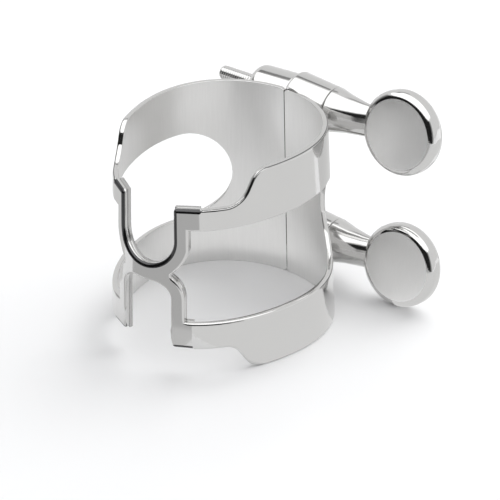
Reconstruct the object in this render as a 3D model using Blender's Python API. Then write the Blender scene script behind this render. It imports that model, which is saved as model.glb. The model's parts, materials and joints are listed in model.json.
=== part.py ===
"""A two-screw clamping ring for a woodwind mouthpiece, standing on its wide rim.

Up is +Z along the ring's axis, the reed side faces -Y and the screw heads point to +X.
Sizes are in millimetres here and become metres when a mesh is made.
"""

import math

import bmesh
import bpy
from mathutils import Matrix, Vector

# Ring: a slightly conical and slightly oval sleeve.
RIM_R = 13.25  # mean outer radius at the upper, narrow rim
TAPER = 0.95  # how much larger the mean radius is at the lower, wide rim
HEIGHT = 26.7
OVAL_RIM = 0.079  # how far front and back stand out, as a share of the radius
OVAL_BASE = 0.054
EGG = 0.031  # how much more the front stands out than the back
SHEET = 0.7
SPLIT_GAP = 0.5
GAP = 0.25  # between soldered pieces, and at a bearing face

# Flat pattern, as (length round the ring from the front centre, height).
PATTERN_R = RIM_R + TAPER / 2  # azimuth times this radius is a flat-pattern length
SPLIT_END = math.pi * PATTERN_R - SPLIT_GAP / 2
ARM_TOP = HEIGHT - 4.1
ARM_FOOT = 3.5
ARM_MIDDLE = 9.0  # any length at which both front arms have level edges
UPPER_STEP = (14.3, 12.0)  # where the upper edge's slope leaves the rim and meets the arm
UPPER_STEP_ROUND = (2.4, 3.2)
LOWER_STEP = (10.7, 13.1)
LOWER_STEP_ROUND = 1.5
CORNER = 0.5
WINDOW_TOP = HEIGHT - 7.0
WINDOW_FOOT = 7.1
WAIST = 2.2  # height of the bridge between the two notches
WAIST_Z = HEIGHT / 2 - 0.05
UPPER_U = 3.7  # half width and end radius of the notch that opens upwards
UPPER_U_Z = WAIST_Z + WAIST / 2 + UPPER_U
LOWER_U = 3.35  # half width of the notch that opens downwards
LOWER_U_TOP = WAIST_Z - WAIST / 2
LOWER_U_CORNER = 2.0
RIBBON_ROUND = 5.6  # radius of the upper ribbon's outer edge about the notch's centre
RIBBON_SIDE = 5.47
LOWER_RIBBON = 4.94
PINCH = 3.36  # half width of the waist between the two windows
BACK_PANEL = 7.4  # half width of the plain back that carries the posts
NOSE = 7.36  # depth of the window's rounded rear end
NOSE_END = SPLIT_END - BACK_PANEL
NOSE_Z = (WINDOW_TOP + WINDOW_FOOT) / 2 + 0.2
FOLD = 7.9  # where the left wing begins, beyond the reed plate's left arms

# Reed plate, a second layer behind the two notches.
PLATE = 0.6
PLATE_TOP_ARM = 6.8
PLATE_FOOT_ARM = 5.86

# Posts, in two pairs, and the screws through them.
SCREW_Z = {"upper": HEIGHT - 2.1, "lower": 5.55}
STAND_OFF = 1.87  # from the band's outer face to a screw's axis
POST_GAP = 0.5
NEAR_LENGTH = 5.5
NEAR_R = 3.37
NEAR_END_R = 2.9
FAR_LENGTH = 6.1
FAR_R = 2.93
FAR_ROUND = 1.3
EDGE = 0.45  # the rounding of a near post's inner end
CHAMFER = 0.2  # on the other turned edges
BORE_R = 1.3
ROD_R = 0.95
ROD_TIP_X = -11.95
TIP_R = 0.25
SHOULDER_R = 2.9
NECK_R = 2.05  # where the neck goes into the head
NECK_LENGTH = 5.6
NECK_BURIED = 2.3  # how far the neck goes on inside the head
NECK_SPARE = 0.1  # how far the flattened neck stays inside the head's faces
HEAD_X = 16.45
HEAD_R = 5.45
HEAD_THICK = 2.6
HEAD_ROUND = 1.0
HEAD_TURN = {"upper": 8.6, "lower": 10.4}  # degrees that each head is turned back at rest

STEP = 1.1  # longest facet round the ring
ARC_STEP = 22  # degrees, of a small rounded corner
CREASE = 30  # degrees, above which an edge is drawn sharp
SIDES = 40
HEAD_SIDES = 56
CUTTER_REACH = 10  # how far the saddle cutter goes to each side of the split
CUTTER_DEPTH = 6
CUTTER_MARGIN = 3  # above and below the ring


def outer_radius(azimuth, z):
    up = z / HEIGHT
    oval = OVAL_BASE + (OVAL_RIM - OVAL_BASE) * up
    shape = 1 + oval * math.cos(2 * azimuth) + EGG * math.cos(3 * azimuth)
    return (RIM_R + TAPER * (1 - up)) * shape


def on_ring(s, z, inward):
    azimuth = s / PATTERN_R
    radius = outer_radius(azimuth, z) - inward
    return Vector((radius * math.sin(azimuth), -radius * math.cos(azimuth), z))


def rounded(corners):
    """A closed outline from (s, z, radius) corners, each replaced by an arc of that radius."""
    points = []
    for i, (s, z, radius) in enumerate(corners):
        here = Vector((s, z))
        if radius == 0:
            points.append(here)
            continue
        before = (Vector(corners[i - 1][:2]) - here).normalized()
        after = (Vector(corners[(i + 1) % len(corners)][:2]) - here).normalized()
        half = before.angle(after) / 2
        centre = here + (before + after).normalized() * radius / math.sin(half)
        start = here + before * radius / math.tan(half) - centre
        end = here + after * radius / math.tan(half) - centre
        sweep = start.angle(end)
        turn = 1 if start.x * end.y - start.y * end.x > 0 else -1
        count = max(2, math.ceil(sweep / math.radians(ARC_STEP)))
        for k in range(count + 1):
            points.append(centre + Matrix.Rotation(turn * sweep * k / count, 2) @ start)
    return points


def arc(centre, radius, first, last, count):
    """Points on an arc, from one angle in degrees to another. radius is one number or two."""
    across, up = radius if isinstance(radius, tuple) else (radius, radius)
    angles = [math.radians(first + (last - first) * k / count) for k in range(count + 1)]
    return [
        Vector((centre[0] + across * math.cos(a), centre[1] + up * math.sin(a)))
        for a in angles
    ]


def mirrored(points):
    return [Vector((-p.x, p.y)) for p in reversed(points)]


def upper_notch():
    """The upper notch's edge, from its left mouth to its right mouth."""
    corners = [(UPPER_U, UPPER_U_Z, 0), (UPPER_U, ARM_TOP, CORNER), (ARM_MIDDLE, ARM_TOP, 0)]
    lip = rounded(corners)[:-1]
    return mirrored(lip) + arc((0, UPPER_U_Z), UPPER_U, 180, 360, 20)[1:-1] + lip


def lower_notch():
    """The lower notch's edge, from its right mouth to its left mouth."""
    half = rounded(
        [
            (ARM_MIDDLE, ARM_FOOT, 0),
            (LOWER_U, ARM_FOOT, CORNER),
            (LOWER_U, LOWER_U_TOP, LOWER_U_CORNER),
            (0, LOWER_U_TOP, 0),
        ]
    )[1:-1]
    return half + mirrored(half)


def ribbon_edge():
    """The window's front edge on the right side, from its top corner to its bottom corner."""
    low_centre = (LOWER_U - LOWER_U_CORNER, LOWER_U_TOP - LOWER_U_CORNER)
    low_r = LOWER_RIBBON - low_centre[0]
    first = -math.degrees(math.acos(RIBBON_SIDE / RIBBON_ROUND))
    last = -math.degrees(math.acos(PINCH / RIBBON_ROUND))
    pinch = math.degrees(math.acos((PINCH - low_centre[0]) / low_r))
    points = [Vector((RIBBON_SIDE, WINDOW_TOP))]
    points += arc((0, UPPER_U_Z), RIBBON_ROUND, first, last, 8)
    points += arc(low_centre, low_r, pinch, 0, 7)
    return points + [Vector((LOWER_RIBBON, WINDOW_FOOT))]


def window():
    """The right window's outline: a ribbon's edge in front and a rounded nose behind."""
    centre = (NOSE_END - NOSE, NOSE_Z)
    nose = arc(centre, (NOSE, NOSE_Z - WINDOW_FOOT), -90, 0, 10)
    nose += arc(centre, (NOSE, WINDOW_TOP - NOSE_Z), 0, 90, 10)[1:]
    return ribbon_edge() + nose


def rear_outline():
    """The right wing's outline behind the arms: lower step, split end and upper step."""
    return rounded(
        [
            (ARM_MIDDLE, ARM_FOOT, 0),
            (LOWER_STEP[0], ARM_FOOT, LOWER_STEP_ROUND),
            (LOWER_STEP[1], 0, LOWER_STEP_ROUND),
            (SPLIT_END, 0, CORNER),
            (SPLIT_END, HEIGHT, CORNER),
            (UPPER_STEP[0], HEIGHT, UPPER_STEP_ROUND[0]),
            (UPPER_STEP[1], ARM_TOP, UPPER_STEP_ROUND[1]),
            (ARM_MIDDLE, ARM_TOP, 0),
        ]
    )[1:-1]


def finish_mesh(name, bm, material):
    bmesh.ops.recalc_face_normals(bm, faces=bm.faces)
    bmesh.ops.scale(bm, vec=(0.001,) * 3, verts=bm.verts)
    mesh = bpy.data.meshes.new(name)
    bm.to_mesh(mesh)
    bm.free()
    mesh.materials.append(material)
    mesh.shade_smooth()
    mesh.set_sharp_from_angle(angle=math.radians(CREASE))
    obj = bpy.data.objects.new(name, mesh)
    bpy.context.scene.collection.objects.link(obj)
    return obj


def sheet_mesh(loops, inward, thick, step=STEP):
    """A sheet bent round the ring, from flat outlines. inward is its outer face's depth."""
    bm = bmesh.new()
    for loop in loops:
        verts = [bm.verts.new((p.x, p.y, 0)) for p in loop]
        for a, b in zip(verts, verts[1:] + verts[:1]):
            bm.edges.new((a, b))
    bmesh.ops.triangle_fill(bm, use_beauty=True, edges=bm.edges)
    first = min(v.co.x for v in bm.verts)
    last = max(v.co.x for v in bm.verts)
    count = math.ceil((last - first) / step)
    for k in range(1, count):
        at = first + (last - first) * k / count
        parts = bm.verts[:] + bm.edges[:] + bm.faces[:]
        bmesh.ops.bisect_plane(bm, geom=parts, dist=0.02, plane_co=(at, 0, 0), plane_no=(1, 0, 0))
    inner = [e for e in bm.edges if len(e.link_faces) == 2]
    slanted = [e for e in inner if abs(e.verts[0].co.x - e.verts[1].co.x) > 0.021]
    bmesh.ops.dissolve_edges(bm, edges=slanted, use_verts=False)
    made = bmesh.ops.extrude_face_region(bm, geom=bm.faces[:])["geom"]
    back = {v for v in made if isinstance(v, bmesh.types.BMVert)}
    for v in bm.verts:
        v.co = on_ring(v.co.x, v.co.y, inward + (thick if v in back else 0))
    return bm


def lathe(profile, sides=SIDES):
    """A closed turned body round X through the origin, from (x, radius) points."""
    bm = bmesh.new()
    rings = []
    for x, radius in profile:
        if radius == 0:
            rings.append([bm.verts.new((x, 0, 0))])
            continue
        turns = [2 * math.pi * k / sides for k in range(sides)]
        rings.append([bm.verts.new((x, radius * math.cos(a), radius * math.sin(a))) for a in turns])
    if profile[0][1] and profile[-1][1]:
        rings.append(rings[0])
    for one, two in zip(rings, rings[1:]):
        for k in range(sides):
            a, b = one[k % len(one)], one[(k + 1) % len(one)]
            c, d = two[(k + 1) % len(two)], two[k % len(two)]
            corners = [v for i, v in enumerate((a, b, c, d)) if v not in (a, b, c, d)[:i]]
            bm.faces.new(corners)
    return bm


def metal(name, colour, rough):
    material = bpy.data.materials.new(name)
    material.use_nodes = True
    shader = material.node_tree.nodes["Principled BSDF"]
    shader.inputs["Base Color"].default_value = (*colour, 1)
    shader.inputs["Metallic"].default_value = 1.0
    shader.inputs["Roughness"].default_value = rough
    return material


def boolean(obj, other, operation):
    other.hide_render = True
    other.display_type = "WIRE"
    modifier = obj.modifiers.new(operation.title(), "BOOLEAN")
    modifier.operation = operation
    modifier.solver = "EXACT"
    modifier.object = other


def make_band(material):
    """The band's right part, from the fold round the front to the split."""
    left_end = [Vector((-FOLD, ARM_TOP)), Vector((-FOLD, WINDOW_TOP))]
    left_foot = [Vector((-FOLD, WINDOW_FOOT)), Vector((-FOLD, ARM_FOOT))]
    outline = rear_outline() + list(reversed(upper_notch())) + left_end
    outline += list(reversed(mirrored(ribbon_edge()))) + left_foot + list(reversed(lower_notch()))
    bm = sheet_mesh([outline, window()], 0, SHEET)
    return finish_mesh("band", bm, material)


def make_wing(material):
    """The band's left wing, from the fold to the split, with its window open to the fold."""
    start = FOLD + GAP
    end = [p for p in window() if p.x > RIBBON_SIDE + 0.1]
    right = rear_outline()
    right += [Vector((start, ARM_TOP)), Vector((start, WINDOW_TOP))] + list(reversed(end))
    right += [Vector((start, WINDOW_FOOT)), Vector((start, ARM_FOOT))]
    return finish_mesh("left_wing", sheet_mesh([mirrored(right)], 0, SHEET), material)


def make_reed_plate(material):
    """The second layer behind the front: two arms above, two below and the ribbons between."""
    edge = ribbon_edge()
    half = [Vector((PLATE_TOP_ARM, WINDOW_TOP))] + edge
    half += [Vector((PLATE_FOOT_ARM, WINDOW_FOOT)), Vector((PLATE_FOOT_ARM, ARM_FOOT))]
    half = [Vector((PLATE_TOP_ARM, ARM_TOP))] + half
    outline = half + lower_notch() + mirrored(half) + upper_notch()
    return finish_mesh("reed_plate", sheet_mesh([outline], SHEET + GAP, PLATE), material)


def screw_axis(level):
    """(y, z) of a screw's axis, which runs along X."""
    z = SCREW_Z[level]
    return outer_radius(math.pi, z) + STAND_OFF, z


def make_saddle(material):
    """The solid that cuts each post's foot to the band's outer face."""
    first = math.pi * PATTERN_R - CUTTER_REACH
    last = math.pi * PATTERN_R + CUTTER_REACH
    low, high = -CUTTER_MARGIN, HEIGHT + CUTTER_MARGIN
    outline = [Vector(p) for p in ((first, low), (last, low), (last, high), (first, high))]
    bm = sheet_mesh([outline], -GAP, CUTTER_DEPTH, STEP / 2)
    return finish_mesh("saddle_cutter", bm, material)


def near_profile():
    """A near post from the split outwards: a rounded end, then a slight taper to the shoulder."""
    start, end = POST_GAP / 2, POST_GAP / 2 + NEAR_LENGTH
    points = [(start, BORE_R)]
    for k in range(4):
        a = math.radians(30 * k)
        points.append((start + EDGE * (1 - math.cos(a)), NEAR_R - EDGE + EDGE * math.sin(a)))
    points += [(end - CHAMFER, NEAR_END_R), (end, NEAR_END_R - CHAMFER), (end, BORE_R)]
    return points


def far_profile():
    """A far post from the split outwards, with a widely rounded outer end."""
    start, end = POST_GAP / 2, POST_GAP / 2 + FAR_LENGTH
    points = [(-start, BORE_R), (-start, FAR_R - CHAMFER), (-start - CHAMFER, FAR_R)]
    for k in range(7):
        a = math.radians(15 * k)
        x = end - FAR_ROUND + FAR_ROUND * math.sin(a)
        points.append((-x, FAR_R - CHAMFER - FAR_ROUND + FAR_ROUND * math.cos(a)))
    return points + [(-end, BORE_R)]


def make_posts(level, material, cutter):
    """The near post, which the screw's shoulder bears on, and the far post it threads into."""
    posts = []
    for name, profile in (("near_post_", near_profile()), ("far_post_", far_profile())):
        bm = lathe(profile)
        bmesh.ops.translate(bm, vec=(0, *screw_axis(level)), verts=bm.verts)
        post = finish_mesh(name + level, bm, material)
        boolean(post, cutter, "DIFFERENCE")
        posts.append(post)
    return posts


def rod_profile():
    """The screw without its head: a domed tip, the rod, the shoulder and the tapering neck."""
    seat = POST_GAP / 2 + NEAR_LENGTH + GAP
    dome = ROD_R - TIP_R
    points = [(ROD_TIP_X, 0)]
    for k in range(5):
        a = math.radians(22.5 * k)
        points.append((ROD_TIP_X + dome * (1 - math.cos(a)), TIP_R + dome * math.sin(a)))
    points += [(seat, ROD_R), (seat, SHOULDER_R - CHAMFER), (seat + CHAMFER, SHOULDER_R)]
    slope = SHOULDER_R - NECK_R
    points += [(seat + NECK_LENGTH * 0.18, SHOULDER_R - slope * 0.25)]
    points += [(seat + NECK_LENGTH * 0.43, SHOULDER_R - slope * 0.62)]
    points += [(seat + NECK_LENGTH * 0.79, SHOULDER_R - slope * 0.85)]
    points += [(seat + NECK_LENGTH, NECK_R)]
    return points + [(seat + NECK_LENGTH + NECK_BURIED, 0)]


def coin_profile():
    """The flat round head, turned about its own axis."""
    half = HEAD_THICK / 2
    points = [(-half, 0)]
    for k in range(5):
        a = math.radians(22.5 * k)
        x = -half + HEAD_ROUND * (1 - math.cos(a))
        points.append((x, HEAD_R - HEAD_ROUND + HEAD_ROUND * math.sin(a)))
    return points + [(-x, r) for x, r in reversed(points)]


def flatten_neck(bm):
    """Thins the neck towards the head, so that it ends inside the head's two faces."""
    start = POST_GAP / 2 + NEAR_LENGTH + GAP + CHAMFER
    flat = (HEAD_THICK / 2 - NECK_SPARE) / NECK_R
    for v in bm.verts:
        share = min(1, max(0, (v.co.x - start) / (NECK_LENGTH - CHAMFER)))
        v.co.y *= 1 - share * (1 - flat)


def make_screw(level, material):
    """A thumbscrew: rod, shoulder and neck in one turning, joined to a flat round head."""
    y, z = screw_axis(level)
    turn = Matrix.Rotation(-math.radians(HEAD_TURN[level]), 3, "X")
    bm = lathe(rod_profile())
    flatten_neck(bm)
    bmesh.ops.rotate(bm, matrix=turn, verts=bm.verts)
    bmesh.ops.translate(bm, vec=(0, y, z), verts=bm.verts)
    screw = finish_mesh("thumbscrew_" + level, bm, material)
    bm = lathe(coin_profile(), HEAD_SIDES)
    bmesh.ops.rotate(bm, matrix=Matrix.Rotation(-math.pi / 2, 3, "Z"), verts=bm.verts)
    bmesh.ops.rotate(bm, matrix=turn, verts=bm.verts)
    bmesh.ops.translate(bm, vec=(HEAD_X, y, z), verts=bm.verts)
    head = finish_mesh("head_form_" + level, bm, material)
    boolean(screw, head, "UNION")
    return screw, head


def fold_axis():
    """The foot of the upright line that the left wing folds about, in the middle of the sheet."""
    middle = on_ring(-FOLD - GAP / 2, HEIGHT / 2, SHEET / 2)
    return Vector((middle.x, middle.y, 0))


def move_origin(obj, point):
    obj.data.transform(Matrix.Translation(-point * 0.001))
    obj.location += point * 0.001


def centre_on_base(objects):
    """Moves everything so that the origin is at the middle of the foot of the whole part."""
    corners = [obj.matrix_world @ v.co for obj in objects for v in obj.data.vertices]
    low = [min(c[i] for c in corners) for i in range(3)]
    high = [max(c[i] for c in corners) for i in range(3)]
    shift = Vector(((low[0] + high[0]) / 2, (low[1] + high[1]) / 2, low[2]))
    for obj in bpy.data.objects:
        obj.location -= shift


def main():
    for obj in list(bpy.data.objects):
        bpy.data.objects.remove(obj)
    plated = metal("plated_sheet", (0.80, 0.80, 0.79), 0.08)
    backing = metal("plated_plate", (0.72, 0.72, 0.71), 0.12)
    turned = metal("plated_post", (0.82, 0.82, 0.81), 0.10)
    screw_metal = metal("plated_screw", (0.81, 0.81, 0.80), 0.09)
    band = make_band(plated)
    wing = make_wing(plated)
    plate = make_reed_plate(backing)
    cutter = make_saddle(plated)
    nodes = [band, wing, plate]
    move_origin(wing, fold_axis())
    for level in SCREW_Z:
        near, far = make_posts(level, turned, cutter)
        screw, head = make_screw(level, screw_metal)
        nodes += [near, far, screw, head]
        move_origin(far, fold_axis())
        for obj in (screw, head):
            move_origin(obj, Vector((0, *screw_axis(level))))
    bpy.context.view_layer.update()
    centre_on_base(nodes)


main()
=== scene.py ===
"""Looks of the two-screw clamping ring: plated sheet, turned posts and screws, in a soft studio.

Shapes are worked out in millimetres about the ring's own axis, with the reed side at -Y,
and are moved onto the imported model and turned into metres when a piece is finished.
"""

import json
import math

import bmesh
import bpy
from mathutils import Matrix, Vector


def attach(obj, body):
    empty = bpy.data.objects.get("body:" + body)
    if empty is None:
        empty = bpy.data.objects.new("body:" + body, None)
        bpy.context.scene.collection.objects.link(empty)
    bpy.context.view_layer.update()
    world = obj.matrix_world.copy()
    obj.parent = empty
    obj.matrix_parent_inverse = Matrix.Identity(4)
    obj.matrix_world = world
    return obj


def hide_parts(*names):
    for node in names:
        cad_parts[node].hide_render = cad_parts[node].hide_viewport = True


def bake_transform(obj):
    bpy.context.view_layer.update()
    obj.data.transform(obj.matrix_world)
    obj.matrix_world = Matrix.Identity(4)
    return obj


MM = 0.001
NEAR_ENOUGH = 0.001  # closer than this, two places count as one

# Ring
RIM_R = 13.25  # mean outer radius of the narrow rim
TAPER = 0.95  # what the wide rim's radius has over that
HEIGHT = 26.7
OVAL_RIM = 0.079
OVAL_BASE = 0.054
EGG = 0.031
SHEET = 0.7
PATTERN_R = RIM_R + TAPER / 2  # the radius that turns flat lengths into angles
SPLIT_GAP = 0.06
SPLIT_END = math.pi * PATTERN_R - SPLIT_GAP
STAND_OFF = 1.87  # from the band's outer face to a screw's axis

# Flat pattern: lengths along the sheet from the middle of the reed side, and heights
ARM_TOP = 22.6
ARM_FOOT = 3.5
WINDOW_TOP = 19.7
WINDOW_FOOT = 7.1
WAIST_Z = 13.3
UPPER_U = 3.7
UPPER_U_Z = 18.1
UPPER_U_CENTRE = (0, UPPER_U_Z)
LOWER_U = 3.35
LOWER_U_TOP = 12.2
LOWER_U_ROUND = 2.0
RIBBON_ROUND = 5.6
RIBBON_SWEEP = 40.7
WAIST_X = 3.357
WAIST_CENTRE = (1.35, 10.2)
WAIST_SWEEP = 56.0
WINDOW_FOOT_X = 4.94
NOSE_START = 28.19
NOSE_DEEP = 7.36
STEP_FOOT_IN = 10.7
STEP_FOOT_OUT = 13.1
STEP_TOP_IN = 12.0
STEP_TOP_OUT = 14.3
FOLD = 7.9
PLATE = 0.6
PLATE_TOP_ARM = 6.8
PLATE_FOOT_ARM = 5.86

# Rims
ROLLED_RIM = 0.5
OUTER_RIM = 0.28
INNER_RIM = 0.08
PLATE_FRONT_RIM = 0.1
PLATE_BACK_RIM = 0.16
# Dark rims: their rounding gets a near-black tint, a painted dark reflection of the dark
# surroundings
NOTCH_SHADE = 0.7  # how far from the upper notch's edge a rim counts as the notch's own, with its painted dark reflection
SHADE_DEEP = 0.65  # the depth in the sheet where the painted dark reflection on the rims ends
WIDE_SHADE = (0.15, 0.999)  # how far a rim's face is turned outwards where its dark reflection is painted
THIN_SHADE = (0.5, 0.75)

# Turned parts, with X measured from the split
TURN_STEPS = 96
POST_BORE = 1.3
UPPER_SCREW_Z = HEIGHT - 2.1
LOWER_SCREW_Z = 5.55
UPPER_HEAD_TURN = 8.6
LOWER_HEAD_TURN = 10.4
NECK_START = 6.2
NECK_LENGTH = 5.4
NECK_FLATTENING = 0.415
HEAD_X = 16.45

# Thread
ROD_R = 0.95
PITCH = 0.35
THREAD_DEEP = 0.16
THREAD_START = -11.55
THREAD_END = 5.6
THREAD_STEPS = 40

# Camera
CAMERA_PLACE = (202.6, -254.3, 193.44)
CAMERA_AZIMUTH = 37.895
CAMERA_ELEVATION = 29.517
CAMERA_ROLL = -0.413
CAMERA_LENS = 214.24


def outer_radius(azimuth, z):
    up = z / HEIGHT
    oval = OVAL_BASE + (OVAL_RIM - OVAL_BASE) * up
    shape = 1 + oval * math.cos(2 * azimuth) + EGG * math.cos(3 * azimuth)
    return (RIM_R + TAPER * (1 - up)) * shape


def on_ring(s, z, depth):
    azimuth = s / PATTERN_R
    radius = outer_radius(azimuth, z) - depth
    return Vector((radius * math.sin(azimuth), -radius * math.cos(azimuth), z))


def on_sheet(s, z, depth):
    """A point of the bent sheet, which runs straight across each arm of the reed plate."""
    near, far = (UPPER_U, PLATE_TOP_ARM) if z > WAIST_Z else (LOWER_U, PLATE_FOOT_ARM)
    if not near < abs(s) < far:
        return on_ring(s, z, depth)
    share = (abs(s) - near) / (far - near)
    ends = [on_ring(math.copysign(end, s), z, depth) for end in (near, far)]
    return ends[0].lerp(ends[1], share)


def draw(bm, moves):
    """Draws a closed or open flat line in the XZ plane and returns its vertices in order.

    A move is a point, or (centre, degrees) to turn about that centre.
    """
    verts = [bm.verts.new((moves[0][0], 0, moves[0][1]))]
    for move in moves[1:]:
        if isinstance(move[0], tuple):
            (cx, cz), degrees = move
            made = bmesh.ops.spin(
                bm,
                geom=[verts[-1]],
                cent=(cx, 0, cz),
                axis=(0, -1, 0),
                dvec=(0, 0, 0),
                angle=math.radians(degrees),
                steps=max(4, round(abs(degrees) / 6)),
                use_merge=False,
                use_duplicate=False,
            )
            verts.append(made["geom_last"][0])
        else:
            verts.append(bm.verts.new((move[0], 0, move[1])))
            bm.edges.new((verts[-2], verts[-1]))
    return verts


def close(bm, verts):
    bm.edges.new((verts[-1], verts[0]))


def to_mesh(name, bm):
    """A mesh made from a finished shape, which is freed."""
    mesh = bpy.data.meshes.new(name)
    bm.to_mesh(mesh)
    bm.free()
    return mesh


def show(name, data):
    obj = bpy.data.objects.new(name, data)
    bpy.context.scene.collection.objects.link(obj)
    return obj


def all_parts(bm):
    return bm.verts[:] + bm.edges[:] + bm.faces[:]


def round_corners(bm, corners):
    """Rounds flat corners, given as (x, z, length taken off each side)."""
    bm.verts.ensure_lookup_table()
    for x, z, reach in corners:
        found = [v for v in bm.verts if (v.co - Vector((x, 0, z))).length < 0.01]
        bmesh.ops.bevel(
            bm,
            geom=found,
            offset=reach,
            offset_type="OFFSET",
            segments=max(3, round(reach * 3) + 2),
            profile=0.5,
            affect="VERTICES",
            clamp_overlap=False,
        )


def rounded_outline(bm, moves, corners):
    """Draws a closed outline and rounds its corners. Only its edges are left."""
    close(bm, draw(bm, moves))
    bmesh.ops.edgeloop_fill(bm, edges=bm.edges[:])
    round_corners(bm, corners)
    bmesh.ops.delete(bm, geom=bm.faces[:], context="FACES_ONLY")


def fill(bm):
    bmesh.ops.triangle_fill(bm, use_beauty=True, edges=bm.edges[:], normal=(0, -1, 0))


def cut(bm, x):
    """Cuts the shape across at x, without parting it."""
    bmesh.ops.bisect_plane(
        bm, geom=all_parts(bm), dist=0.0005, plane_co=(x, 0, 0), plane_no=(1, 0, 0)
    )


def merge_flat(bm, kept_at):
    """Dissolves the fill's own edges, keeping the outline and the cuts at the given lengths."""
    inner = [e for e in bm.edges if len(e.link_faces) == 2]
    loose = []
    for edge in inner:
        xs = [v.co.x for v in edge.verts]
        if not any(max(abs(x - at) for x in xs) < NEAR_ENOUGH for at in kept_at):
            loose.append(edge)
    bmesh.ops.dissolve_edges(bm, edges=loose, use_verts=False)


def thicken(bm, thick):
    made = bmesh.ops.extrude_face_region(bm, geom=bm.faces[:])["geom"]
    bmesh.ops.translate(
        bm, vec=(0, thick, 0), verts=[v for v in made if isinstance(v, bmesh.types.BMVert)]
    )
    bmesh.ops.recalc_face_normals(bm, faces=bm.faces)


def rim_edges(bm, y, wanted):
    """Edges where the flat side at depth y meets a cut wall."""
    found = []
    for edge in bm.edges:
        if len(edge.link_faces) != 2 or any(abs(v.co.y - y) > NEAR_ENOUGH for v in edge.verts):
            continue
        steep = [abs(f.normal.y) < 0.5 for f in edge.link_faces]
        middle = (edge.verts[0].co + edge.verts[1].co) / 2
        if steep[0] != steep[1] and wanted(middle.x, middle.z):
            found.append(edge)
    return found


def round_rims(bm, y, radius, wanted, segments=4):
    bmesh.ops.bevel(
        bm,
        geom=rim_edges(bm, y, wanted),
        offset=radius,
        offset_type="OFFSET",
        segments=segments,
        profile=0.5,
        affect="EDGES",
        clamp_overlap=False,
        material=-1,
        loop_slide=True,
    )


def drop_walls(bm, x):
    """Removes the walls left on the plane at x, where two pieces of sheet meet."""
    gone = [f for f in bm.faces if all(abs(v.co.x - x) < NEAR_ENOUGH for v in f.verts)]
    bmesh.ops.delete(bm, geom=gone, context="FACES")


def bend(bm, extra_cuts=(), step=0.55, depth=0.0):
    """Cuts the flat sheet into fine strips and bends it round the ring."""
    first = min(v.co.x for v in bm.verts)
    last = max(v.co.x for v in bm.verts)
    count = math.ceil((last - first) / step)
    cuts = [first + (last - first) * k / count for k in range(1, count)]
    for at in sorted(cuts + list(extra_cuts)):
        cut(bm, at)
    for v in bm.verts:
        v.co = on_sheet(v.co.x, v.co.z, v.co.y + depth)


def mirror_half(bm):
    drop_walls(bm, 0)
    bmesh.ops.mirror(bm, geom=all_parts(bm), axis="X", merge_dist=NEAR_ENOUGH)


def place():
    """The matrix from the ring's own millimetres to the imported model's metres."""
    joint = next(
        j for j in frame["record"]["behaviour"]["joints"] if j["name"] == "upper_screw_turn"
    )
    x, y, z = joint["pos_m"]
    back = (outer_radius(math.pi, z / MM) + STAND_OFF) * MM
    return Matrix.Translation((x, y - back, 0)) @ Matrix.Scale(MM, 4)


def sharpen(bm, angle):
    """Shades smoothly everywhere but at edges that turn by more than an angle."""
    for face in bm.faces:
        face.smooth = True
    for edge in bm.edges:
        if edge.calc_face_angle(0) > math.radians(angle):
            edge.smooth = False


def finish_piece(name, bm, materials, body, node, sharp=40):
    bmesh.ops.remove_doubles(bm, verts=bm.verts, dist=0.0004)
    bmesh.ops.dissolve_degenerate(bm, dist=0.0003, edges=bm.edges)
    bmesh.ops.transform(bm, matrix=place(), verts=bm.verts)
    sharpen(bm, sharp)
    mesh = to_mesh(name, bm)
    for material in materials:
        mesh.materials.append(material)
    obj = show(name, mesh)
    if node not in ("band", "left_wing", "reed_plate"):
        smooth = obj.modifiers.new("even_normals", "WEIGHTED_NORMAL")
        smooth.weight = 100
        smooth.keep_sharp = True
    if body:
        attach(obj, body)
    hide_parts(node)
    return obj


def ribbon_moves():
    """The window's front edge, from its top corner down to its bottom corner."""
    top = (RIBBON_ROUND * math.cos(math.radians(12.4)), UPPER_U_Z - 1.2)
    return [
        (top[0], WINDOW_TOP),
        top,
        (UPPER_U_CENTRE, -RIBBON_SWEEP),
        (WAIST_X, 13.18),
        (WAIST_CENTRE, -WAIST_SWEEP),
    ]


def band_outline(bm):
    """The right half of the band's flat pattern, with its window."""
    rounded_outline(
        bm,
        [
            (0, LOWER_U_TOP),
            (LOWER_U, LOWER_U_TOP),
            (LOWER_U, ARM_FOOT),
            (STEP_FOOT_IN, ARM_FOOT),
            (STEP_FOOT_OUT, 0),
            (SPLIT_END, 0),
            (SPLIT_END, HEIGHT),
            (STEP_TOP_OUT, HEIGHT),
            (STEP_TOP_IN, ARM_TOP),
            (UPPER_U, ARM_TOP),
            (UPPER_U, UPPER_U_Z),
            (UPPER_U_CENTRE, -90),
        ],
        BAND_CORNERS,
    )
    rear = (NOSE_START, (WINDOW_TOP + WINDOW_FOOT) / 2)
    foot = [(WINDOW_FOOT_X, WINDOW_FOOT), (NOSE_START, WINDOW_FOOT)]
    close(bm, draw(bm, ribbon_moves() + foot + [(rear, 180)]))
    half_height = (WINDOW_TOP - WINDOW_FOOT) / 2
    nose = [v for v in bm.verts if NOSE_START < v.co.x < SPLIT_END - 1]
    bmesh.ops.scale(
        bm,
        vec=(NOSE_DEEP / half_height, 1, 1),
        space=Matrix.Translation((-NOSE_START, 0, 0)),
        verts=nose,
    )


BAND_CORNERS = [
    (LOWER_U, LOWER_U_TOP, LOWER_U_ROUND),
    (LOWER_U, ARM_FOOT, 0.5),
    (STEP_FOOT_IN, ARM_FOOT, 0.9),
    (STEP_FOOT_OUT, 0, 1.3),
    (SPLIT_END, 0, 0.5),
    (SPLIT_END, HEIGHT, 0.5),
    (STEP_TOP_OUT, HEIGHT, 1.4),
    (STEP_TOP_IN, ARM_TOP, 1.9),
    (UPPER_U, ARM_TOP, 0.45),
]


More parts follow.
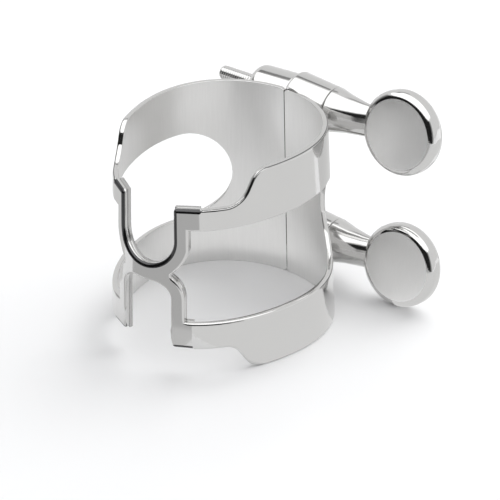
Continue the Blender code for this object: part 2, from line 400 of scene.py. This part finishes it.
def by_notch(x, z, reach):
    """Whether a flat point is within reach of the upper notch's edge."""
    if z > UPPER_U_Z:
        return x < UPPER_U + reach
    return math.hypot(x, z - UPPER_U_Z) < UPPER_U + reach


def rolled(x, z):
    """Whether a rim belongs to the upper notch or an arm over the reed plate."""
    upper = x < PLATE_TOP_ARM and (by_notch(x, z, 0.05) or z > ARM_TOP - 0.6)
    lower = z < ARM_FOOT + 0.6 and x < PLATE_FOOT_ARM
    return (upper or lower) and x > NEAR_ENOUGH


def has_painted_dark_rim(x, z):
    """Whether a rounded rim gets the painted dark reflection: the notches, their arms and the
    upper rim.
    """
    upper = by_notch(x, z, NOTCH_SHADE) or z > ARM_TOP - 0.65
    lower = z < ARM_FOOT + 0.6 and LOWER_U - 0.5 < x < PLATE_FOOT_ARM
    return upper or lower


def between_ends(x, z):
    """Whether a rim lies between the middle of the reed side and the split."""
    return NEAR_ENOUGH < x < SPLIT_END - 0.1


def part_flats(bm):
    """Keeps the shading of the flat sides apart from that of their rounded rims."""
    bm.normal_update()
    for edge in bm.edges:
        flat = [abs(face.normal.y) > 0.9999 for face in edge.link_faces]
        if len(flat) == 2 and flat[0] != flat[1]:
            edge.smooth = False


def paint_rim_dark_reflection(bm):
    """Gives the middle of each dark rim's rounding the third material, whose near-black tint is a
    painted dark reflection.
    """
    bm.normal_update()
    for face in bm.faces:
        middle = face.calc_center_median()
        wide = rolled(middle.x, middle.z) or by_notch(middle.x, middle.z, NOTCH_SHADE)
        limits = WIDE_SHADE if wide else THIN_SHADE
        turned_out = limits[0] < -face.normal.y < limits[1]
        if middle.y < SHADE_DEEP and turned_out and has_painted_dark_rim(middle.x, middle.z):
            face.material_index = 2


def make_band():
    bm = bmesh.new()
    band_outline(bm)
    fill(bm)
    marks = (PLATE_FOOT_ARM, PLATE_TOP_ARM, 20.0)
    for at in marks:
        cut(bm, at)
    merge_flat(bm, marks)
    thicken(bm, SHEET)
    for face in bm.faces:
        if all(v.co.y > SHEET - NEAR_ENOUGH for v in face.verts):
            face.material_index = 1
    round_rims(bm, 0, ROLLED_RIM, rolled, 6)
    round_rims(bm, 0, OUTER_RIM, lambda x, z: not rolled(x, z) and between_ends(x, z))
    round_rims(bm, SHEET, INNER_RIM, between_ends)
    paint_rim_dark_reflection(bm)
    part_flats(bm)
    mirror_half(bm)
    bend(bm, [-FOLD + offset for offset in (-0.2, -0.05, 0, 0.05, 0.2)])
    return bm


def keep_side(bm, left):
    """Keeps the left wing, or all the rest, of the bent band."""
    fold = -FOLD / PATTERN_R
    gone = []
    for face in bm.faces:
        middle = face.calc_center_median()
        beyond = math.atan2(middle.x, -middle.y) < fold
        if beyond != left:
            gone.append(face)
    bmesh.ops.delete(bm, geom=gone, context="FACES")
    return bm


def make_plate():
    bm = bmesh.new()
    rounded_outline(
        bm,
        [
            (0, LOWER_U_TOP),
            (LOWER_U, LOWER_U_TOP),
            (LOWER_U, ARM_FOOT),
            (PLATE_FOOT_ARM, ARM_FOOT),
            (PLATE_FOOT_ARM, WINDOW_FOOT),
            (WINDOW_FOOT_X, WINDOW_FOOT),
            (WINDOW_FOOT_X, WAIST_CENTRE[1]),
            (WAIST_CENTRE, WAIST_SWEEP),
            (WAIST_X, 13.62),
            (UPPER_U_CENTRE, RIBBON_SWEEP),
            (5.47, WINDOW_TOP),
            (PLATE_TOP_ARM, WINDOW_TOP),
            (PLATE_TOP_ARM, ARM_TOP),
            (UPPER_U, ARM_TOP),
            (UPPER_U, UPPER_U_Z),
            (UPPER_U_CENTRE, -90),
        ],
        [(LOWER_U, LOWER_U_TOP, LOWER_U_ROUND)],
    )
    fill(bm)
    merge_flat(bm, ())
    thicken(bm, PLATE)
    for side, radius in ((0, PLATE_FRONT_RIM), (PLATE, PLATE_BACK_RIM)):
        round_rims(bm, side, radius, lambda x, z: x > NEAR_ENOUGH, 3)
    part_flats(bm)
    mirror_half(bm)
    bend(bm, step=0.4, depth=SHEET)
    return bm


def screw_axis(z):
    return Vector((0, outer_radius(math.pi, z) + STAND_OFF, z))


def turned(moves, axis_point, closed=False):
    """A turned body round X through a point, from a profile of (x, radius) moves."""
    bm = bmesh.new()
    verts = draw(bm, moves)
    if closed:
        close(bm, verts)
    bmesh.ops.spin(
        bm,
        geom=bm.verts[:] + bm.edges[:],
        cent=(0, 0, 0),
        axis=(1, 0, 0),
        dvec=(0, 0, 0),
        angle=math.tau,
        steps=TURN_STEPS,
        use_merge=True,
        use_duplicate=False,
    )
    bmesh.ops.remove_doubles(bm, verts=bm.verts, dist=0.0005)
    bmesh.ops.recalc_face_normals(bm, faces=bm.faces)
    bmesh.ops.translate(bm, vec=axis_point, verts=bm.verts)
    return bm


def near_post(z):
    moves = [
        (SPLIT_GAP, POST_BORE),
        (SPLIT_GAP, 2.92),
        ((0.51, 2.92), -90),
        (5.65, 2.92),
        ((5.65, 2.72), -90),
        (5.85, POST_BORE),
    ]
    return turned(moves, screw_axis(z), True)


def far_post(z):
    moves = [
        (-SPLIT_GAP, POST_BORE),
        (-SPLIT_GAP, 2.78),
        ((-0.21, 2.78), 90),
        (-5.05, 2.73),
        ((-5.05, 1.43), 90),
        (-6.35, 1.1),
    ]
    return turned(moves, screw_axis(z), True)


def saddle_cut(post, name):
    """Cuts away what a post has inside the sheet, so that its foot ends in the band."""
    bm = bmesh.new()
    bmesh.ops.create_cube(bm, size=1)
    bmesh.ops.scale(bm, vec=(20, 1, 40), verts=bm.verts)
    split = math.pi * PATTERN_R
    bmesh.ops.translate(bm, vec=(split, 0.5, HEIGHT / 2), verts=bm.verts)
    for k in range(1, 40):
        cut(bm, split - 10 + k * 0.5)
    for v in bm.verts:
        v.co = on_ring(v.co.x, v.co.z, SHEET / 2 if v.co.y < 0.5 else 6)
    bmesh.ops.recalc_face_normals(bm, faces=bm.faces)
    both = []
    for source, label in ((post, name), (bm, name + "_cutter")):
        both.append(show(label, to_mesh(label, source)))
    cutting = both[0].modifiers.new("saddle", "BOOLEAN")
    cutting.operation = "DIFFERENCE"
    cutting.solver = "EXACT"
    cutting.object = both[1]
    evaluated = both[0].evaluated_get(bpy.context.evaluated_depsgraph_get())
    cut_post = bmesh.new()
    cut_post.from_mesh(evaluated.to_mesh())
    for obj in both:
        bpy.data.objects.remove(obj)
    return cut_post


def rod_thread(bm):
    """Adds a single-start, right-handed thread, from the rod's tip to inside the near post."""
    turns = round((THREAD_END - THREAD_START) / PITCH)
    thread = bmesh.new()
    points = [(THREAD_START, ROD_R)]
    for k in range(turns):
        at = THREAD_START + k * PITCH
        points += [(at + PITCH / 2, ROD_R - THREAD_DEEP), (at + PITCH, ROD_R)]
    draw(thread, points)
    bmesh.ops.spin(
        thread,
        geom=thread.verts[:] + thread.edges[:],
        cent=(0, 0, 0),
        axis=(1, 0, 0),
        dvec=(PITCH / THREAD_STEPS, 0, 0),
        angle=math.tau,
        steps=THREAD_STEPS,
        use_merge=False,
        use_duplicate=False,
    )
    bmesh.ops.remove_doubles(thread, verts=thread.verts, dist=NEAR_ENOUGH)
    bmesh.ops.recalc_face_normals(thread, faces=thread.faces)
    join(bm, thread)


def join(bm, other):
    mesh = to_mesh("joined", other)
    bm.from_mesh(mesh)
    bpy.data.meshes.remove(mesh)


def flatten_neck(bm):
    """Thins the neck towards the head, so that it ends inside the head's two faces."""
    for v in bm.verts:
        share = min(1, max(0, (v.co.x - NECK_START) / NECK_LENGTH))
        v.co.y *= 1 - NECK_FLATTENING * share**2


def screw(z, head_turn):
    """A thumbscrew at rest: rod, thread, shoulder, neck and flat round head."""
    shaft = [
        (-11.95, 0),
        (-11.95, 0.50),
        ((-11.55, 0.50), -90),
        (-11.5, 0.86),
        (5.92, 0.86),
        (5.92, 2.7),
        ((6.12, 2.7), -90),
        (7.0, 2.7),
        (8.4, 2.4),
        (10.4, 2.17),
        (11.6, 2.05),
        (13.4, 1.65),
        (13.9, 0),
    ]
    bm = turned(shaft, Vector())
    flatten_neck(bm)
    rod_thread(bm)
    coin = turned(
        [
            (-1.3, 0),
            (-1.3, 4.45),
            ((-0.3, 4.45), -90),
            (0.3, 5.45),
            ((0.3, 4.45), -90),
            (1.3, 0),
        ],
        Vector(),
    )
    coin.normal_update()
    for face in coin.faces:
        if abs(face.normal.x) > 0.99:
            face.material_index = 1
    bmesh.ops.rotate(coin, matrix=Matrix.Rotation(-math.pi / 2, 3, "Z"), verts=coin.verts)
    bmesh.ops.translate(coin, vec=(HEAD_X, 0, 0), verts=coin.verts)
    join(bm, coin)
    tilt = Matrix.Rotation(-math.radians(head_turn), 3, "X")
    bmesh.ops.rotate(bm, matrix=tilt, verts=bm.verts)
    bmesh.ops.translate(bm, vec=screw_axis(z), verts=bm.verts)
    return bm


def group(name, inputs, outputs):
    tree = bpy.data.node_groups.new(name, "ShaderNodeTree")
    for label, kind, value in inputs:
        socket = tree.interface.new_socket(label, in_out="INPUT", socket_type=kind)
        socket.default_value = value
    for label, kind in outputs:
        tree.interface.new_socket(label, in_out="OUTPUT", socket_type=kind)
    return tree, tree.nodes.new("NodeGroupInput"), tree.nodes.new("NodeGroupOutput")


def mapped(tree, value, low, high, to_low, to_high):
    """Maps a value linearly from one range to another."""
    node = tree.nodes.new("ShaderNodeMapRange")
    labels = ("From Min", "From Max", "To Min", "To Max")
    for label, number in zip(labels, (low, high, to_low, to_high)):
        node.inputs[label].default_value = number
    tree.links.new(value, node.inputs["Value"])
    return node.outputs["Result"]


def noise(tree, vector, scale, detail):
    node = tree.nodes.new("ShaderNodeTexNoise")
    node.inputs["Scale"].default_value = scale
    node.inputs["Detail"].default_value = detail
    tree.links.new(vector, node.inputs["Vector"])
    return node.outputs["Fac"]


def maths(tree, operation, one, two):
    node = tree.nodes.new("ShaderNodeMath")
    node.operation = operation
    for socket, value in zip(node.inputs, (one, two)):
        if isinstance(value, float):
            socket.default_value = value
        else:
            tree.links.new(value, socket)
    return node.outputs["Value"]


def plating_group():
    """Colour, roughness and normal of plated metal: smudges, upright polishing grain, ripple."""
    tree, given, out = group(
        "plating",
        [
            ("Tint", "NodeSocketColor", (0.62, 0.615, 0.605, 1)),
            ("Roughness", "NodeSocketFloat", 0.08),
            ("Ripple", "NodeSocketFloat", 0.1),
            ("Grain", "NodeSocketFloat", 0.0),
        ],
        [
            ("Color", "NodeSocketColor"),
            ("Roughness", "NodeSocketFloat"),
            ("Normal", "NodeSocketVector"),
        ],
    )
    nodes, links = tree.nodes, tree.links
    place_node = nodes.new("ShaderNodeTexCoord").outputs["Object"]
    smudge = noise(tree, place_node, 150, 2)
    stretch = nodes.new("ShaderNodeVectorMath")
    stretch.operation = "MULTIPLY"
    stretch.inputs[1].default_value = (1, 1, 0.06)
    links.new(place_node, stretch.inputs[0])
    streak = noise(tree, stretch.outputs["Vector"], 4000, 2)
    streaks = mapped(tree, streak, 0.3, 0.7, 0.0, 1.0)
    grain = maths(tree, "MULTIPLY", streaks, given.outputs["Grain"])
    tone = maths(tree, "SUBTRACT", mapped(tree, smudge, 0.3, 0.7, 0.985, 1.0), grain)
    shade = nodes.new("ShaderNodeMix")
    shade.data_type = "RGBA"
    shade.blend_type = "MULTIPLY"
    shade.inputs["Factor"].default_value = 1
    links.new(given.outputs["Tint"], shade.inputs["A"])
    links.new(tone, shade.inputs["B"])
    links.new(shade.outputs["Result"], out.inputs["Color"])
    haze = mapped(tree, smudge, 0.35, 0.75, 0.93, 1.12)
    links.new(maths(tree, "MULTIPLY", haze, given.outputs["Roughness"]), out.inputs["Roughness"])
    bump = nodes.new("ShaderNodeBump")
    bump.inputs["Distance"].default_value = 0.0004
    links.new(noise(tree, place_node, 120, 1), bump.inputs["Height"])
    links.new(given.outputs["Ripple"], bump.inputs["Strength"])
    links.new(bump.outputs["Normal"], out.inputs["Normal"])
    return tree


def plated(name, group_tree, tint, rough, ripple, grain=0.0):
    material = bpy.data.materials.new(name)
    material.use_nodes = True
    nodes, links = material.node_tree.nodes, material.node_tree.links
    shader = nodes["Principled BSDF"]
    shader.inputs["Metallic"].default_value = 1
    plating = nodes.new("ShaderNodeGroup")
    plating.node_tree = group_tree
    plating.inputs["Tint"].default_value = (*tint, 1)
    plating.inputs["Roughness"].default_value = rough
    plating.inputs["Ripple"].default_value = ripple
    plating.inputs["Grain"].default_value = grain
    links.new(plating.outputs["Color"], shader.inputs["Base Color"])
    links.new(plating.outputs["Roughness"], shader.inputs["Roughness"])
    links.new(plating.outputs["Normal"], shader.inputs["Normal"])
    return material


def emission(name, value):
    material = bpy.data.materials.new(name)
    material.use_nodes = True
    nodes = material.node_tree.nodes
    nodes.remove(nodes["Principled BSDF"])
    glow = nodes.new("ShaderNodeEmission")
    glow.inputs["Color"].default_value = (value, value, value, 1)
    material.node_tree.links.new(
        glow.outputs["Emission"], nodes["Material Output"].inputs["Surface"]
    )
    return material


def studio_card(name, bm, material):
    """A card that only reflections see."""
    bmesh.ops.transform(bm, matrix=place(), verts=bm.verts)
    mesh = to_mesh(name, bm)
    mesh.materials.append(material)
    obj = show(name, mesh)
    obj.visible_camera = False
    obj.visible_diffuse = False
    obj.visible_shadow = False
    obj.visible_transmission = False


def ray(azimuth, elevation):
    """The direction from the object, with azimuth 0 towards the reed side."""
    a, e = math.radians(azimuth), math.radians(elevation)
    return Vector((math.sin(a) * math.cos(e), -math.cos(a) * math.cos(e), math.sin(e)))


def horizon_card(first, last, radius, low, high):
    """An upright strip of wall round the object between two azimuths."""
    bm = bmesh.new()
    start = ray(first, 0) * radius
    foot = bm.verts.new((start.x, start.y, low))
    head = bm.verts.new((start.x, start.y, high))
    edge = bm.edges.new((foot, head))
    bmesh.ops.spin(
        bm,
        geom=[foot, head, edge],
        cent=(0, 0, 0),
        axis=(0, 0, 1),
        dvec=(0, 0, 0),
        angle=math.radians(last - first),
        steps=24,
        use_merge=False,
        use_duplicate=False,
    )
    return bm


def floor_card(first, last, near, far, centre, lift):
    """A flat sector on the floor, between two azimuths and two distances from a point."""
    bm = bmesh.new()
    a = bm.verts.new(centre + ray(first, 0) * near + Vector((0, 0, lift)))
    b = bm.verts.new(centre + ray(first, 0) * far + Vector((0, 0, lift)))
    edge = bm.edges.new((a, b))
    bmesh.ops.spin(
        bm,
        geom=[a, b, edge],
        cent=centre,
        axis=(0, 0, 1),
        dvec=(0, 0, 0),
        angle=math.radians(last - first),
        steps=16,
        use_merge=False,
        use_duplicate=False,
    )
    return bm


def ceiling_card(low, high, height):
    """A level rectangle over the object, from its corners."""
    bm = bmesh.new()
    bmesh.ops.create_grid(bm, x_segments=1, y_segments=1, size=0.5)
    bmesh.ops.scale(bm, vec=(high[0] - low[0], high[1] - low[1], 1), verts=bm.verts)
    middle = ((low[0] + high[0]) / 2, (low[1] + high[1]) / 2, height)
    bmesh.ops.translate(bm, vec=middle, verts=bm.verts)
    return bm


def dome():
    bm = bmesh.new()
    bmesh.ops.create_uvsphere(bm, u_segments=32, v_segments=16, radius=2500)
    return bm


def key_light(azimuth, elevation, distance, size, power):
    """A soft light for the floor alone, which no reflection shows."""
    data = bpy.data.lights.new("key", "AREA")
    data.shape = "DISK"
    data.size = size
    data.energy = power
    obj = show("key", data)
    back = ray(azimuth, elevation)
    obj.location = place() @ Vector((0, 0, 10)) + back * distance
    obj.rotation_mode = "QUATERNION"
    obj.rotation_quaternion = back.to_track_quat("Z", "Y")
    obj.visible_glossy = False


def make_stage():
    bm = bmesh.new()
    bmesh.ops.create_grid(bm, x_segments=1, y_segments=1, size=3)
    floor = show("floor", to_mesh("floor", bm))
    paper = bpy.data.materials.new("paper")
    paper.use_nodes = True
    shader = paper.node_tree.nodes["Principled BSDF"]
    shader.inputs["Base Color"].default_value = (0.93, 0.93, 0.935, 1)
    shader.inputs["Roughness"].default_value = 0.9
    shader.inputs["Specular IOR Level"].default_value = 0.1
    floor.data.materials.append(paper)
    black = emission("dark_card", 0.015)
    white = emission("white_card", 1.7)
    studio_card("tent", dome(), emission("tent", 0.88))
    studio_card("dark_wall", horizon_card(-62, 58, 125, 2, 104), black)
    for first, last, value in ((-74, -62, 0.15), (-90, -74, 0.4), (58, 66, 0.15), (66, 76, 0.4)):
        shade = emission("wall_edge_card", value)
        studio_card("wall_edge", horizon_card(first, last, 125, 2, 104), shade)
    for name, shape, value in (
        ("grey_wall", (-175, -101, 280, 0, 300), 0.85),
        ("dark_strip", (-155, -101, 280, 300, 385), 0.25),
    ):
        studio_card(name, horizon_card(*shape), emission(name + "_card", value))
    # Floor cards that only reflections see: their grey values are painted shade, the floor's
    # shadow in front of, beside and inside the ring as the metal mirrors it
    front = Vector((0, -14, 0))
    middle = Vector()
    for name, shape, value in (
        ("grey_floor_painted_shade", (-60, 41, 14, 110, front, 0.1), 0.56),
        ("arm_floor_painted_shade", (-60, 46, 3, 14, front, 0.1), 0.70),
        ("pale_floor_painted_shade", (41, 150, 14, 110, front, 0.1), 0.88),
        ("back_floor_painted_shade", (150, 300, 24, 150, middle, 0.15), 0.75),
        ("inner_floor_painted_shade", (0, 360, 0.1, 11.5, middle, 0.1), 0.82),
    ):
        studio_card(name, floor_card(*shape), emission(name + "_card", value))
    studio_card("softbox", ceiling_card((-520, -550), (450, 160), 400), white)
    key_light(170, 50, 0.5, 0.5, 1.6)
    world = bpy.data.worlds.new("world")
    bpy.context.scene.world = world
    world.use_nodes = True
    sky = world.node_tree.nodes["Background"]
    sky.inputs["Color"].default_value = (0.95, 0.955, 0.96, 1)
    sky.inputs["Strength"].default_value = 0.78


def make_camera():
    data = bpy.data.cameras.new("camera")
    data.sensor_width = 36
    data.lens = CAMERA_LENS
    data.clip_start = 0.01
    data.clip_end = 20
    camera = show("camera", data)
    camera.location = place() @ Vector(CAMERA_PLACE)
    turn = ray(CAMERA_AZIMUTH, CAMERA_ELEVATION).to_track_quat("Z", "Y")
    roll = Matrix.Rotation(math.radians(CAMERA_ROLL), 4, "Z").to_quaternion()
    camera.rotation_mode = "QUATERNION"
    camera.rotation_quaternion = turn @ roll
    bpy.context.scene.camera = camera


def make_pieces():
    tree = plating_group()
    band_metal = plated("band_plating", tree, (0.67, 0.667, 0.660), 0.09, 0.03)
    satin = plated("band_inside", tree, (0.84, 0.837, 0.83), 0.34, 0.0, 0.03)
    # Near-black tint: a painted dark reflection on the notch, arm and upper rims, not the
    # plating's own colour
    painted_dark_reflection_rim = plated("band_rim_painted_dark_reflection", tree, (0.09, 0.09, 0.092), 0.2, 0.02)
    sheet_metal = (band_metal, satin, painted_dark_reflection_rim)
    plate_metal = plated("plate_plating", tree, (0.50, 0.498, 0.494), 0.14, 0.05)
    post_metal = plated("post_plating", tree, (0.67, 0.667, 0.660), 0.10, 0.03)
    turned_metal = plated("screw_plating", tree, (0.67, 0.667, 0.660), 0.10, 0.02)
    face_metal = plated("head_face", tree, (0.97, 0.968, 0.962), 0.42, 0.0, 0.02)
    screw_metals = (turned_metal, face_metal)
    right = keep_side(make_band(), False)
    finish_piece("band_sheet", right, sheet_metal, "ring", "band")
    left = keep_side(make_band(), True)
    wing = finish_piece("wing_sheet", left, sheet_metal, None, "left_wing")
    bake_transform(wing)
    plate = make_plate()
    finish_piece("reed_backing", plate, (plate_metal,), "ring", "reed_plate")
    for level, z, head_turn in (
        ("upper", UPPER_SCREW_Z, UPPER_HEAD_TURN),
        ("lower", LOWER_SCREW_Z, LOWER_HEAD_TURN),
    ):
        near = saddle_cut(near_post(z), "near_form")
        far = saddle_cut(far_post(z), "far_form")
        name = "near_post_" + level
        finish_piece("turned_" + name, near, (post_metal,), "ring", name, 35)
        name = "far_post_" + level
        finish_piece("turned_" + name, far, (post_metal,), "wing", name, 35)
        body = level + "_screw"
        node = "thumbscrew_" + level
        shape = screw(z, head_turn)
        finish_piece("screw_" + level, shape, screw_metals, body, node, 35)


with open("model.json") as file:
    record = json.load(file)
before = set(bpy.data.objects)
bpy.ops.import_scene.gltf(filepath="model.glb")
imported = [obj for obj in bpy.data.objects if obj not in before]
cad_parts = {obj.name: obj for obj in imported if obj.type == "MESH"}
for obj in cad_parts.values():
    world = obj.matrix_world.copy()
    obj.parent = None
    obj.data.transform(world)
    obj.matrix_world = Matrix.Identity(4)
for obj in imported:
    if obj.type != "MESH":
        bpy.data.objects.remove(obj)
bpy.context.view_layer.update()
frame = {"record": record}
bpy.context.scene.view_settings.view_transform = "Standard"
make_pieces()
make_stage()
make_camera()
